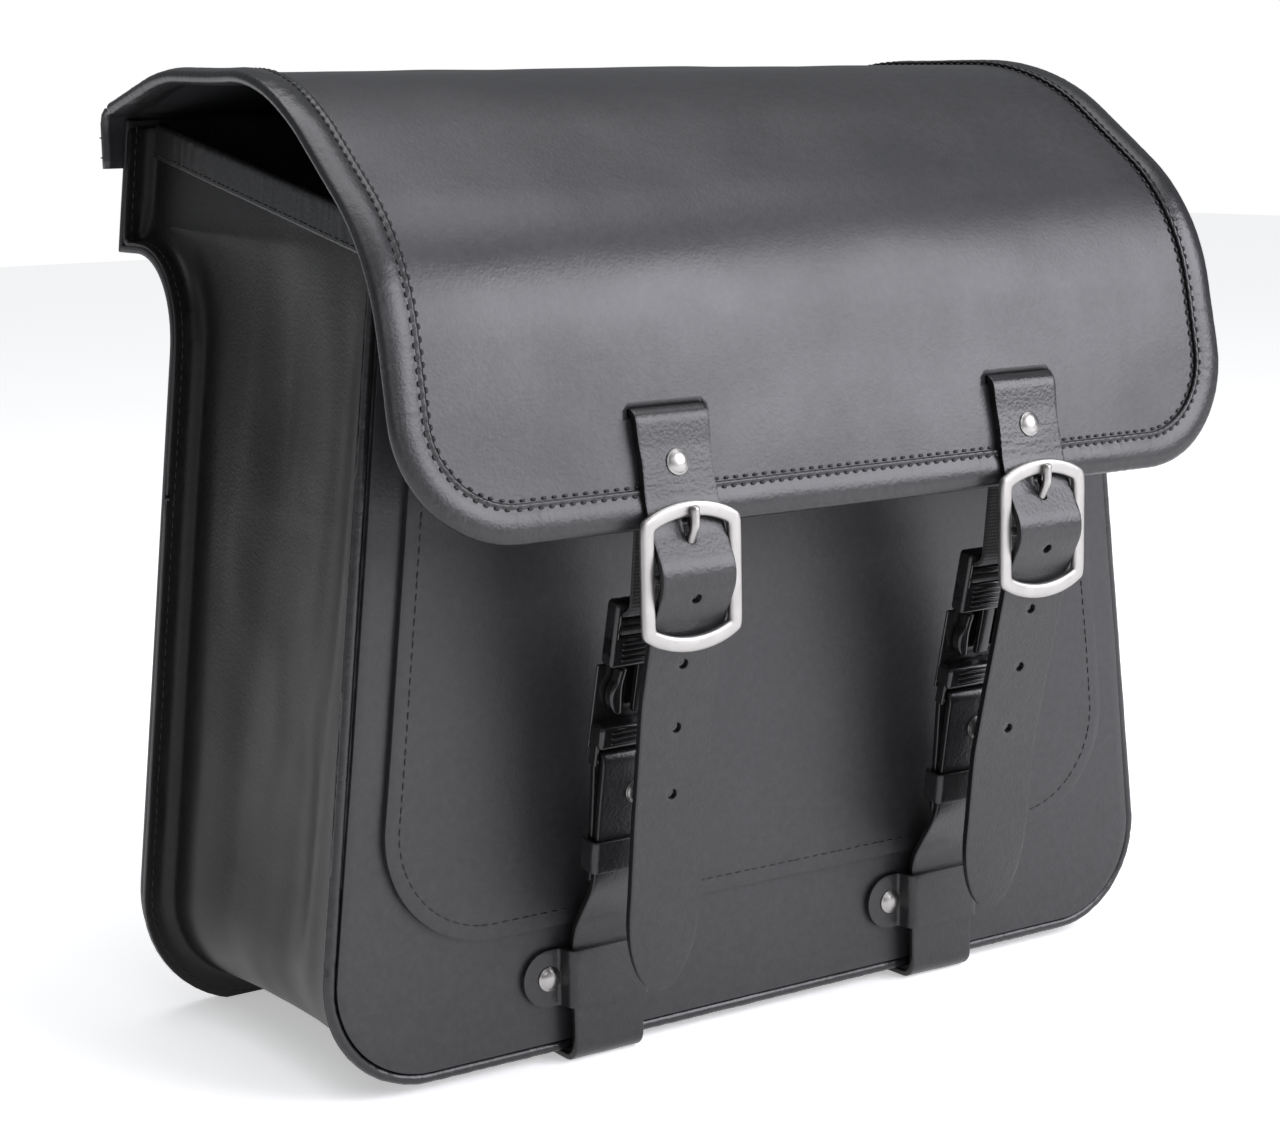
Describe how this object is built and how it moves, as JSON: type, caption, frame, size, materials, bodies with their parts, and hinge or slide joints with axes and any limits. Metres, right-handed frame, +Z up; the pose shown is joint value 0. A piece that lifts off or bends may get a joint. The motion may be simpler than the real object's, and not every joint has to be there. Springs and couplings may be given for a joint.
{
  "type": "motorcycle saddlebag",
  "caption": "Black leather motorcycle saddlebag: a stiff gusseted box under a wrap-over lid, held shut by buckled straps on side-release clips.",
  "frame": {"origin": "bottom centre of the whole bag, on the surface it stands on", "axes": "+Z up, +Y towards the motorcycle (the back), +X to the right seen from the front; X is the symmetry axis"},
  "size_m": [0.4582, 0.3146, 0.4209],
  "materials": {
    "panel_leather": "satin",
    "strap_leather": "satin",
    "edge_leather": "satin",
    "nickel": "satin",
    "black_plastic": "gloss",
    "webbing": "matte",
    "board": "matte"
  },
  "bodies": {
    "bag": {"front_panel": "panel_leather", "front_overlay": "panel_leather", "front_piping": "edge_leather", "gusset": "panel_leather", "back_panel": "panel_leather", "back_upper_panel": "panel_leather", "backing_board": "board", "mount_washers": "nickel", "mouth_binding_left": "edge_leather", "mouth_binding_right": "edge_leather", "mouth_binding_front": "edge_leather", "hinge_strip": "panel_leather", "keeper_rivets": "nickel", "fold_rivets": "nickel", "strap_end_rivets": "nickel", "lower_strap_left": "strap_leather", "lower_keeper_left": "strap_leather", "fold_keeper_left": "strap_leather", "female_clip_left": "black_plastic", "lower_strap_right": "strap_leather", "lower_keeper_right": "strap_leather", "fold_keeper_right": "strap_leather", "female_clip_right": "black_plastic"},
    "lid": {"lid": "panel_leather", "lid_binding": "edge_leather", "lid_rivets": "nickel", "strap_anchor_left": "strap_leather", "strap_anchor_right": "strap_leather", "webbing_anchor_left": "webbing", "webbing_anchor_right": "webbing"},
    "closure_left": {"strap_tail_left": "strap_leather", "buckle_frame_left": "nickel"},
    "clip_left": {"webbing_tab_left": "webbing", "male_clip_left": "black_plastic"},
    "prong_left": {"buckle_prong_left": "nickel"},
    "arm_left_left": {"clip_arm_left_left": "black_plastic"},
    "arm_left_right": {"clip_arm_left_right": "black_plastic"},
    "closure_right": {"strap_tail_right": "strap_leather", "buckle_frame_right": "nickel"},
    "clip_right": {"webbing_tab_right": "webbing", "male_clip_right": "black_plastic"},
    "prong_right": {"buckle_prong_right": "nickel"},
    "arm_right_left": {"clip_arm_right_left": "black_plastic"},
    "arm_right_right": {"clip_arm_right_right": "black_plastic"}
  },
  "joints": [
    {"name": "lid_hinge", "type": "hinge", "parent": "bag", "child": "lid", "pos_m": [0, 0.15525, 0.4025], "axis": [-1, 0, 0], "range_deg": [0, 110]},
    {"name": "strap_bend_left", "type": "hinge", "parent": "lid", "child": "closure_left", "pos_m": [-0.0926, -0.14815, 0.2355], "axis": [1, 0, 0], "range_deg": [0, 88]},
    {"name": "web_bend_left", "type": "hinge", "parent": "lid", "child": "clip_left", "pos_m": [-0.0926, -0.13527, 0.24085], "axis": [1, 0, 0], "range_deg": [0, 88]},
    {"name": "prong_lift_left", "type": "hinge", "parent": "closure_left", "child": "prong_left", "pos_m": [-0.0926, -0.15015, 0.2183], "axis": [1, 0, 0], "range_deg": [0, 12]},
    {"name": "clip_press_left_left", "type": "hinge", "parent": "clip_left", "child": "arm_left_left", "pos_m": [-0.1036, -0.11513, 0.17598], "axis": [0, -0.9707, -0.2402], "range_deg": [0, 7], "stiffness_Nm_per_rad": 0.05},
    {"name": "clip_press_left_right", "type": "hinge", "parent": "clip_left", "child": "arm_left_right", "pos_m": [-0.0816, -0.11513, 0.17598], "axis": [0, 0.9707, 0.2402], "range_deg": [0, 7], "stiffness_Nm_per_rad": 0.05},
    {"name": "strap_bend_right", "type": "hinge", "parent": "lid", "child": "closure_right", "pos_m": [0.0926, -0.14815, 0.2355], "axis": [1, 0, 0], "range_deg": [0, 88]},
    {"name": "web_bend_right", "type": "hinge", "parent": "lid", "child": "clip_right", "pos_m": [0.0926, -0.13527, 0.24085], "axis": [1, 0, 0], "range_deg": [0, 88]},
    {"name": "prong_lift_right", "type": "hinge", "parent": "closure_right", "child": "prong_right", "pos_m": [0.0926, -0.15015, 0.2183], "axis": [1, 0, 0], "range_deg": [0, 12]},
    {"name": "clip_press_right_left", "type": "hinge", "parent": "clip_right", "child": "arm_right_left", "pos_m": [0.0816, -0.11513, 0.17598], "axis": [0, -0.9707, -0.2402], "range_deg": [0, 7], "stiffness_Nm_per_rad": 0.05},
    {"name": "clip_press_right_right", "type": "hinge", "parent": "clip_right", "child": "arm_right_right", "pos_m": [0.1036, -0.11513, 0.17598], "axis": [0, 0.9707, 0.2402], "range_deg": [0, 7], "stiffness_Nm_per_rad": 0.05}
  ],
  "couplings": [
    {"joint": "strap_bend_left", "follows": "lid_hinge", "ratio": 0.8},
    {"joint": "web_bend_left", "follows": "lid_hinge", "ratio": 0.8},
    {"joint": "strap_bend_right", "follows": "lid_hinge", "ratio": 0.8},
    {"joint": "web_bend_right", "follows": "lid_hinge", "ratio": 0.8}
  ]
}
